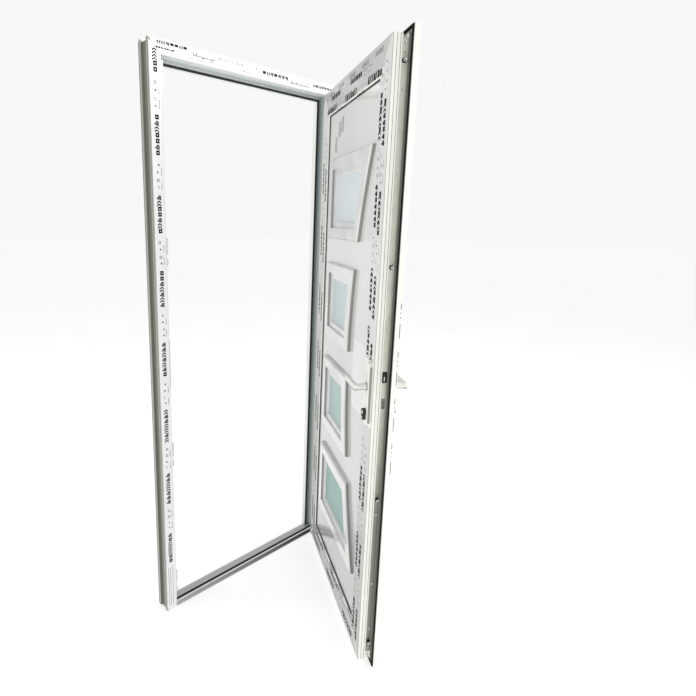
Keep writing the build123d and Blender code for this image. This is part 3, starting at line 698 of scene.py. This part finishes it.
# The top rail's film is painted darker, as painted shade.
rail_film = Finish("film_on_top_rail_in_painted_shade", "c9c7c3", 0.26)
rail_film.mottle(rail_film.noise(6, open_angle, 4.0, (1, 1, 0.4)), "b9b7b3", 0.4, 0.75)
rail_film.bump(rail_film.noise(38, open_angle, 3.0, (1, 1, 0.25)), 0.15, 0.001)
hinge_film = Finish("loose_film_on_hinge_stile", "e4e3df", 0.24)
hinge_film.mottle(hinge_film.noise(8, open_angle, 4.0, (1, 1, 0.5)), "cbc9c5", 0.4, 0.75)
hinge_film.repaint(hinge_film.below(open_angle, 1.7, 1.2), "a8a7a3")
hinge_film.bump(hinge_film.noise(42, open_angle, 3.0, (1, 1, 0.5)), 0.25, 0.001)
print("film finishes ready")

# %% [markdown]
# ## Strips of film
# Each strip is a thin slab on a face. A mitred bar is longest at its outer edge, so a plane at 45
# degrees cuts each mitred end, a little short of the weld, and the cut is closed again.

# %% Lay the film
film_thick = 0.12 * mm
weld_gap = 7 * mm
cut_low, cut_high = 895 * mm, 1108 * mm


def film(name, face, u, v, outer_v, mitred, finish, body):
    """A strip between u and v limits, cut at its low (-1) or high (1) end, longest at outer_v."""
    bm = bmesh.new()
    face.block(bm, u, v, (0, film_thick))
    for end in mitred:
        limit = u[0] if end < 0 else u[1]
        face.cut(bm, (limit - end * weld_gap, outer_v), (end, -1 if outer_v else 1))
    piece(name, bm, finish, body)


head_length, rail_length = 2 * half_width, shut_right - shut_left
jamb_u, jamb_v = (4 * mm, frame_top), (2 * mm, 43 * mm)
leaf_v, hinge_v = (1.5 * mm, 89 * mm), (5 * mm, 92.5 * mm)
stile_u, high_u, low_u = (leaf_low, leaf_high), (cut_high, leaf_high), (leaf_low, cut_low)
film("film_lock_jamb", lock_jamb_room, jamb_u, jamb_v, frame_face, (1,), frame_film, "frame")
film("film_hinge_jamb", hinge_jamb_room, jamb_u, jamb_v, 0, (1,), jamb_film, "frame")
film("film_head", head_room, (0, head_length), jamb_v, 0, (-1, 1), frame_film, "frame")
film("film_lock_stile_high", stile_lock_out, high_u, leaf_v, 0, (1,), leaf_film, "leaf")
film("film_lock_stile_low", stile_lock_out, low_u, leaf_v, 0, (-1,), leaf_film, "leaf")
film("film_hinge_stile", stile_hinge_out, stile_u, hinge_v, bar_face, (1, -1), hinge_film, "leaf")
film("film_top_rail", rail_top_out, (0, rail_length), hinge_v, bar_face, (-1, 1), rail_film, "leaf")
film("film_bottom_rail", rail_low_out, (0, rail_length), leaf_v, 0, (-1, 1), leaf_film, "leaf")

# %% [markdown]
# ## What is printed on the film
# Such film carries a print that repeats along the bar. Here it is made of plain shapes: a bold row
# of hatched blocks, hollow squares and chevrons, then small signs and rows of dashes, about four
# times in every metre. Two rows run side by side on the wide leaf bars and one on the narrow frame.
# A broken dark line on the flange's edge beside the lock is painted shade along the film's edge,
# drawn in the same ink. Seeded dice pick the signs, so the print is the same in every run.

# %% Print signs
ink = Finish("film_ink", "09090a", 0.5)
ink.set("Specular IOR Level", 0.2)
ink.mottle(ink.noise(30, 0.0, 2.0), "1a1a1c", 0.4, 0.8)
pale_ink = Finish("pale_film_ink", "6f716f", 0.45)
pale_ink.mottle(pale_ink.noise(60, 0.0, 2.0), "8a8c8a", 0.4, 0.8)
ink_w = (film_thick, film_thick + 0.05 * mm)
dice = random.Random(12)
period = 255 * mm


def bold_row(bm, face, u, v, length, height, count=7, weight=0.28):
    """Bold signs in a row: hatched blocks, hollow squares and chevrons."""
    pitch = length / count
    stroke = pitch * weight
    for i in range(count):
        u0 = u + i * pitch
        u1 = u0 + pitch * 0.8
        kind = dice.randrange(3)
        if kind == 0:
            for start, top in ((u0, 1.0), ((u0 + u1 - stroke) / 2, 0.8), (u1 - stroke, 0.6)):
                face.block(bm, (start, start + stroke * 0.85), (v, v + height * top), ink_w, 0.25)
        elif kind == 1:
            for side in ((u0, u0 + stroke), (u1 - stroke, u1)):
                face.block(bm, side, (v, v + height * 0.8), ink_w)
            for side in ((v, v + stroke), (v + height * 0.8 - stroke, v + height * 0.8)):
                face.block(bm, (u0, u1), side, ink_w)
        else:
            half = height / 2
            for shift, lean in ((0, 0.7), (half, -0.7)):
                rise = (v + shift, v + shift + half)
                for start in (u0 - 0.2 * stroke, u0 + 1.6 * stroke):
                    face.block(bm, (start, start + stroke), rise, ink_w, lean)


def fine_row(bm, face, u, v, length, height):
    """A row of dashes, like a line of small print seen from afar."""
    place = u
    while place < u + length:
        step = dice.uniform(2.0, 6.0) * mm
        face.block(bm, (place, place + step), (v, v + height), ink_w)
        place += step + 1.6 * mm


def sign(bm, face, u, v, size):
    """One small care sign: a dot, a ring of bars, a triangle or a pair of drops."""
    kind = dice.randrange(4)
    if kind == 0:
        face.disc(bm, u, v, ink_w, size * 0.36)
    elif kind == 1:
        whole_u, whole_v = (u - 0.5 * size, u + 0.5 * size), (v - 0.5 * size, v + 0.5 * size)
        for a, b in ((-0.5, -0.3), (0.3, 0.5)):
            face.block(bm, (u + a * size, u + b * size), whole_v, ink_w)
            face.block(bm, whole_u, (v + a * size, v + b * size), ink_w)
    elif kind == 2:
        face.disc(bm, u, v, ink_w, size * 0.5, 3)
    else:
        face.disc(bm, u - 0.3 * size, v, ink_w, size * 0.22, 8)
        face.disc(bm, u + 0.3 * size, v + 0.2 * size, ink_w, size * 0.22, 8)


def print_run(bm, face, start, end, v, height, weight=0.28):
    """The repeating print along a face: a bold row, then small signs and dashes."""
    u = start
    while u + 20 * mm < end:
        if u + 132 * mm < end:
            bold_row(bm, face, u, v - height / 2, 130 * mm, height, 7, weight)
        for step in (152, 174, 200, 224):
            if u + (step + 8) * mm < end:
                sign(bm, face, u + step * mm, v + dice.uniform(-3, 3) * mm, 9 * mm)
        for step in (146, 190):
            if u + (step + 24) * mm < end:
                fine_row(bm, face, u + step * mm, v - height * 0.8, 24 * mm, 2 * mm)
        u += period


print("print signs ready")

# %% Print on the frame
bm = bmesh.new()
print_run(bm, lock_jamb_room, 213 * mm, frame_top - 105 * mm, 23 * mm, 17 * mm)
bold_row(bm, lock_jamb_room, 1998 * mm, 15 * mm, 74 * mm, 17 * mm, 4)
for v in (14 * mm, 24 * mm, 32 * mm):
    fine_row(bm, lock_jamb_room, 20 * mm, v, 170 * mm, 1.8 * mm)
print_run(bm, hinge_jamb_room, 110 * mm, frame_top - 40 * mm, 24 * mm, 20 * mm, 0.5)
bold_row(bm, head_room, 755 * mm, 5 * mm, 118 * mm, 10 * mm)
bold_row(bm, head_room, 805 * mm, 24 * mm, 70 * mm, 6 * mm)
bold_row(bm, head_room, 288 * mm, 14 * mm, 135 * mm, 13 * mm)
bold_row(bm, head_room, 30 * mm, 16 * mm, 120 * mm, 10 * mm)
head_rows = ((640, 22, 90, 3), (470, 33, 60, 2), (170, 30, 100, 3), (690, 36, 60, 1.4))
for u, v, length, height in head_rows:
    fine_row(bm, head_room, u * mm, v * mm, length * mm, height * mm)
for u in (730, 718, 690, 655, 540, 520, 450, 265, 240, 210, 180):
    sign(bm, head_room, u * mm, dice.uniform(12, 30) * mm, 8 * mm)
for i in range(14):
    width = dice.choice((0.8, 1.4, 2.0)) * mm
    head_room.block(bm, ((560 + i * 5) * mm, (560 + i * 5) * mm + width), (9 * mm, 19 * mm), ink_w)
piece("film_print_frame", bm, ink, "frame")

# %% Print on the leaf
bm = bmesh.new()
stile_weight, rail_weight, letter = 0.4, 0.5, 21 * mm
for start, end in ((leaf_low + 50 * mm, 890 * mm), (1245 * mm, leaf_high - 50 * mm)):
    print_run(bm, stile_lock_out, start, end, 38 * mm, letter, stile_weight)
    print_run(bm, stile_lock_out, start + 22 * mm, end, 72 * mm, letter, stile_weight)
bold_row(bm, stile_lock_out, 1122 * mm, 62 * mm, 92 * mm, letter, 5, stile_weight)
bold_row(bm, stile_lock_out, 1114 * mm, 28 * mm, 56 * mm, letter, 3, stile_weight)
for v, start in ((22 * mm, leaf_low + 60 * mm), (62 * mm, leaf_low + 90 * mm)):
    print_run(bm, stile_hinge_out, start, leaf_high - 70 * mm, v, 19 * mm, stile_weight)
for face, near, far in ((rail_top_out, 16 * mm, 58 * mm), (rail_low_out, 30 * mm, 72 * mm)):
    print_run(bm, face, 70 * mm, rail_length - 60 * mm, near, 23 * mm, rail_weight)
    print_run(bm, face, 130 * mm, rail_length - 80 * mm, far, 19 * mm, rail_weight)
    for start in (90, 230, 370, 510, 640):
        for row in range(3):
            fine_row(bm, face, start * mm, far + (11 + row * 5) * mm, 70 * mm, 2.4 * mm)
# A broken dark line of painted shade along the film's edge on the flange.
flange_edge = Face((stile_low.x, leaf_room_y, 0), up_z, (0, 1, 0), True)
for start in range(744, 1250, 150):
    for shift, length in ((0, 46), (62, 5), (76, 5), (90, 18)):
        run = ((start + shift) * mm, (start + shift + length) * mm)
        flange_edge.block(bm, run, (2.6 * mm, 4.4 * mm), (0, 0.2 * mm))
piece("film_print_leaf", bm, ink, "leaf")

# %% [markdown]
# ## The label on the panel's film
# High on the panel's hinge side the film has three small blocks of grey print. Each is a stack of
# short bars, ten lines high.

# %% Panel label
panel_y = shut_box("door_panel")[1].y
panel_face = Face((0, panel_y, 0), up_z, to_right, True)
bm = bmesh.new()
for u, v in ((1862, 100), (1850, 136), (1800, 184)):
    for row in range(10):
        u0 = (u + row * 5.6) * mm
        bar_v = (v * mm, (v + dice.uniform(20, 32)) * mm)
        panel_face.block(bm, (u0, u0 + 3 * mm), bar_v, ink_w)
piece("film_print_panel", bm, pale_ink, "leaf")

# %% [markdown]
# ## The same film on the room side
# The room side of the leaf isn't in the picture, so it repeats the outside: film on four bars with
# the bare band at each weld, and the same print.

# %% Film on the room side
room_v = (1.5 * mm, 96.5 * mm)
low_end, high_end = stile_low.z, stile_high.z
flange_right, room_rail = shut_right + flange_reach, rail_length + 2 * flange_reach
stile_lock_in = Face((stile_low.x + room_bar_face, leaf_room_y, 0), up_z, to_left, True)
stile_hinge_in = Face((flange_right, leaf_room_y, 0), up_z, to_left, True)
rail_top_in = Face((flange_right, leaf_room_y, high_end), to_left, down_z, True)
rail_low_in = Face((flange_right, leaf_room_y, low_end + room_bar_face), to_left, down_z, True)
room_bars = (
    ("film_room_lock_high", stile_lock_in, (cut_high, high_end), room_bar_face, (1,)),
    ("film_room_lock_low", stile_lock_in, (low_end, cut_low), room_bar_face, (-1,)),
    ("film_room_hinge", stile_hinge_in, (low_end, high_end), 0, (1, -1)),
    ("film_room_top", rail_top_in, (0, room_rail), 0, (-1, 1)),
    ("film_room_bottom", rail_low_in, (0, room_rail), room_bar_face, (-1, 1)))
for name, face, u, outer_v, mitred in room_bars:
    film(name, face, u, room_v, outer_v, mitred, leaf_film, "leaf")

# %% Print on the room side
bm = bmesh.new()
for start, end in ((leaf_low + 60 * mm, 890 * mm), (1112 * mm, leaf_high - 60 * mm)):
    for v in (30 * mm, 70 * mm):
        print_run(bm, stile_lock_in, start + v, end, v, 13 * mm)
for v in (28 * mm, 70 * mm):
    print_run(bm, stile_hinge_in, leaf_low + 60 * mm + v, leaf_high - 60 * mm, v, 13 * mm)
    print_run(bm, rail_top_in, 110 * mm + v, room_rail - 110 * mm, v, 12 * mm)
    print_run(bm, rail_low_in, 110 * mm + v, room_rail - 110 * mm, v, 12 * mm)
piece("film_print_room_side", bm, ink, "leaf")

# %% [markdown]
# ## Welded corners
# Plastic bars are joined with a hot plate, which leaves a bead that a knife trims to a shallow
# line. Each visible mitre gets such a line: a thin, slightly grey strip on the diagonal.

# %% One weld line
weld = Finish("trimmed_weld", "7f7f7a", 0.5)
weld.mottle(weld.noise(120, 0.0, 3.0), "979791", 0.4, 0.7)
weld_width, weld_height, end_gap = 1.3 * mm, 0.06 * mm, 2 * mm


def weld_line(bm, face, corner, inner):
    """A trimmed weld from an outer corner to an inner one."""
    run = Vector(inner) - Vector(corner)
    middle = (Vector(corner) + Vector(inner)) / 2
    angle = Vector((1, 0)).angle_signed(run)
    size = Matrix.Diagonal((run.length - 2 * end_gap, weld_width, weld_height, 1))
    spot = face.at(middle.x, middle.y, weld_height / 2)
    bmesh.ops.create_cube(bm, size=1, matrix=spot @ Matrix.Rotation(-angle, 4, "Z") @ size)


print("weld width", weld_width)

# %% Weld lines
bm = bmesh.new()
weld_line(bm, head_room, (head_length, 0), (head_length - frame_face, frame_face))
weld_line(bm, head_room, (0, 0), (frame_face, frame_face))
piece("frame_welds", bm, weld, "frame")

bm = bmesh.new()
outer_run, room_run = 90 * mm, 97 * mm
corners = (
    (rail_top_out, rail_length, bar_face, outer_run), (rail_low_out, rail_length, 0, outer_run),
    (rail_top_in, room_rail, 0, room_run), (rail_low_in, room_rail, room_bar_face, room_run))
for face, length, outer_v, run in corners:
    inner_v = abs(outer_v - run)
    weld_line(bm, face, (0, outer_v), (run, inner_v))
    weld_line(bm, face, (length, outer_v), (length - run, inner_v))
piece("leaf_welds", bm, weld, "leaf")

# %% [markdown]
# ## Screws and roller heads
# A countersunk screw is a shallow cone with a round recess, and where asked its drive is a black
# disc of painted shade. One small builder makes it, and the faceplate, the keeps and the hinges use
# it. The rollers have an eccentric adjuster in their tip: a bright disc with a hexagon socket
# painted black as shade. A black slip ring behind each roller is painted shade over its slot.

# %% One screw
bright = Finish("bright_zinc", "dedfd9", 0.28, 0.85)
bright.sheen_drift(bright.noise(200, 0.0, 3.0), 0.2, 0.4)
# Black of painted shade, for drives, sockets, the latch window, the cylinder's guard and keyways.
dark = Finish("black_painted_shade", "17181a", 0.6)
dark.mottle(dark.noise(90, 0.0, 2.0), "26282a", 0.4, 0.7)


def screw(bm, face, u, v, radius, stand=0.5 * mm, w=0.0, drive=None):
    """A countersunk head just above the face, its middle pressed in, with a black drive of painted
    shade if asked.
    """
    verts = face.disc(bm, u, v, (w, w + stand), radius, 20, 0.84)
    out = (face.place.to_3x3() @ Vector((0, 0, 1))).normalized()
    faces = {f for vert in verts for f in vert.link_faces}
    cap = max(faces, key=lambda f: f.calc_center_median() @ out)
    bmesh.ops.inset_region(bm, faces=[cap], thickness=radius * 0.42)
    bmesh.ops.translate(bm, verts=cap.verts[:], vec=-out * stand * 0.7)
    if drive:
        face.disc(drive, u, v, (w + stand * 0.3, w + stand * 0.9), radius * 0.5, 6)


print("screw builder ready")

# %% Screws of the faceplate
plate_screws = (2018, 1899, 1673, 1458, 1140, 921, 905, 869, 590, 330, 150, 72)
bm = bmesh.new()
drives = bmesh.new()
for height in plate_screws:
    screw(bm, lock_edge, height * mm, 0, 3.8 * mm, drive=drives)
piece("faceplate_screws", bm, bright, "leaf")
piece("faceplate_screw_drives", drives, dark, "leaf")

# %% Roller heads
roller_heights = (97 * mm, 646 * mm, 1407 * mm, 1973 * mm)
roller_tip = shut_left - shut_box("lock_rollers")[0].x
bm = bmesh.new()
sockets = bmesh.new()
for height in roller_heights:
    screw(bm, lock_edge, height, 0, 4.8 * mm, 0.8 * mm, roller_tip)
    lock_edge.disc(sockets, height, 0, (roller_tip + 0.2 * mm, roller_tip + 0.4 * mm), 2.4 * mm, 6)
    lock_edge.disc(sockets, height, 0, (0.02 * mm, 0.25 * mm), 7.4 * mm, 28)
piece("roller_adjusters", bm, bright, "roller_gear")
piece("roller_sockets", sockets, dark, "roller_gear")

# %% Screws of the keeps and hinges
keep_thick, flag_thick = 2 * mm, 3 * mm
keep_face = Face((-half_width + frame_face + keep_thick, groove_y, 0), up_z, (0, -1, 0))
bm = bmesh.new()
for height in (946, 1020, 1092):
    screw(bm, keep_face, height * mm, -6 * mm, 3.6 * mm)
    screw(bm, keep_face, height * mm, 6 * mm, 3.6 * mm)
for height in roller_heights:
    screw(bm, keep_face, height + 24 * mm, -5 * mm, 3.6 * mm)
    screw(bm, keep_face, height + 48 * mm, -5 * mm, 3.6 * mm)
piece("keep_screws", bm, bright, "frame")

hinge_low, hinge_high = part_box("hinge_pins")[0].z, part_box("hinge_pins")[1].z - 3 * mm
first, last = hinge_low + 50 * mm, hinge_high - 50 * mm
flag_face = Face((shut_right - 16 * mm, leaf_room_y - flag_thick, 0), up_z, to_left, True)
bm = bmesh.new()
for middle in (first, (first + last) / 2, last):
    for rise in (-40, -14, 14, 40):
        screw(bm, flag_face, middle + rise * mm, 8 * mm if abs(rise) == 14 else 0, 3.4 * mm)
piece("hinge_screws", bm, bright, "leaf")

# %% [markdown]
# ## Latch window
# The latch comes through a window in the faceplate; a black frame round it is painted shade, the
# darkest spot of the lock edge. A bright strip on the latch's nose is a painted highlight.

# %% Painted shade round the latch
latch_z, window_shade_w = 1066 * mm, (0, 0.6 * mm)
outer_u, window_u, outer_v, window_v = 18 * mm, 13.6 * mm, 8 * mm, 5.9 * mm
bm = bmesh.new()
for near, far in ((-outer_u, -window_u), (window_u, outer_u)):
    lock_edge.block(bm, (latch_z + near, latch_z + far), (-outer_v, outer_v), window_shade_w)
for side in ((-outer_v, -window_v), (window_v, outer_v)):
    lock_edge.block(bm, (latch_z - window_u, latch_z + window_u), side, window_shade_w)
piece("latch_window_shade", bm, dark, "leaf")
nose = shut_left - shut_box("latch_bolt")[0].x
# Painted highlight: a bright strip on the latch's nose.
bm = bmesh.new()
strip_u, strip_w = (latch_z - 9 * mm, latch_z + 4 * mm), (nose, nose + 0.3 * mm)
lock_edge.block(bm, strip_u, (2.8 * mm, 5.2 * mm), strip_w)
piece("latch_painted_highlight", bm, bright, "latch")

# %% [markdown]
# ## Cylinder, collars and plate screws
# The profile cylinder stands well out of its plate in a black guard, which closes over its end; the
# guard is painted shade on the cylinder's sides. The guard's round part holds the rotor with the
# keyway, a black slot of painted shade. A grey collar, painted shade, sits where each lever's neck
# leaves its plate. The long plates are bolted through from the room side, so only the inner plate
# shows screws.

# %% Cylinder guard and rotor
plate_out = shut_box("handle_plate_outer")[1].y - leaf_outer_y
tip_out = shut_box("profile_cylinder")[1].y - leaf_outer_y
cylinder_radius, guard_radius, foot_radius, foot_drop = 8.5 * mm, 12 * mm, 9 * mm, 18 * mm
cylinder_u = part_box("profile_cylinder")[1].z - cylinder_radius - spindle_z
foot_u = cylinder_u - foot_drop
cap_out = tip_out + 0.3 * mm
guard_w, keyway_w = (plate_out, cap_out), (cap_out + 0.1 * mm, cap_out + 0.35 * mm)
bm = bmesh.new()
rotors = bmesh.new()
slots = bmesh.new()
# The black guard is painted shade on the cylinder's sides, and the keyway is a black slot of painted
# shade.
for face in (leaf_out, leaf_in):
    face.disc(bm, cylinder_u, 0, guard_w, guard_radius, 32)
    face.disc(bm, foot_u, 0, guard_w, foot_radius, 24)
    face.block(bm, (foot_u, cylinder_u), (-7.6 * mm, 7.6 * mm), guard_w)
    screw(rotors, face, cylinder_u, 0, 6 * mm, 0.5 * mm, cap_out)
    face.disc(rotors, foot_u, 0, (cap_out, cap_out + 0.4 * mm), 4 * mm, 24)
    slot_u = (cylinder_u - 3.6 * mm, cylinder_u + 3.6 * mm)
    face.block(slots, slot_u, (-0.9 * mm, 0.9 * mm), keyway_w)
piece("cylinder_shade_guards", bm, dark, "leaf")
satin = Finish("satin_rotor", "f2f1ea", 0.45, 0.15)
satin.sheen_drift(satin.noise(300, open_angle, 3.0), 0.35, 0.5)
piece("cylinder_rotors", rotors, satin, "leaf", True)
piece("keyways", slots, dark, "leaf")

# %% Lever collars and plate screws
bm = bmesh.new()
collar_w = [plate_out + rise for rise in (0.25 * mm, 2.2 * mm, 3.4 * mm)]
for face in (leaf_out, leaf_in):
    face.disc(bm, 0, 0, collar_w[:2], 14 * mm, 40, 0.9)
    face.disc(bm, 0, 0, collar_w[1:], 12.4 * mm, 40, 0.94)
# The collar's grey is painted shade at the root of the lever's neck.
collar = Finish("collar_in_painted_shade", "a9a7a1", 0.4)
collar.mottle(collar.noise(150, open_angle, 3.0), "9d9b95", 0.4, 0.75)
piece("lever_collars", bm, collar, "lever", True)
bm = bmesh.new()
for height in (60 * mm, -46 * mm):
    screw(bm, leaf_in, height, 0, 4 * mm, 0.5 * mm, plate_out)
piece("inner_plate_screws", bm, bright, "leaf")

# %% [markdown]
# ## Threshold trim
# A thin white plastic lip runs along the threshold in front of its black seal, and the seal is
# held by it. At both ends the threshold is screwed to the jambs through small brackets.

# %% Threshold trim and brackets
sill_top, half_sill = 15 * mm, half_width - frame_face
sill_face = Face((0, room_y, sill_top), to_right, (0, 1, 0))
bm = bmesh.new()
verts = sill_face.block(bm, (-half_sill, half_sill), (9.5 * mm, 14.4 * mm), (-3 * mm, 2.0 * mm))
long_edges = list({e for v in verts for e in v.link_edges if e.calc_length() > half_sill})
bmesh.ops.bevel(
    bm, geom=long_edges, offset=0.8 * mm, segments=2, profile=0.5, affect="EDGES", material=-1)
piece("threshold_lip", bm, frame_film, "frame", True)
bm = bmesh.new()
bracket_thick = 1.2 * mm
for side in (-1, 1):
    near, far = sorted((side * (half_sill - 1 * mm), side * (half_sill - 26 * mm)))
    sill_face.block(bm, (near, far), (27 * mm, 44 * mm), (0, bracket_thick))
    for v in (31 * mm, 40 * mm):
        screw(bm, sill_face, (near + far) / 2, v, 3 * mm, 0.5 * mm, bracket_thick)
piece("threshold_brackets", bm, bright, "frame")
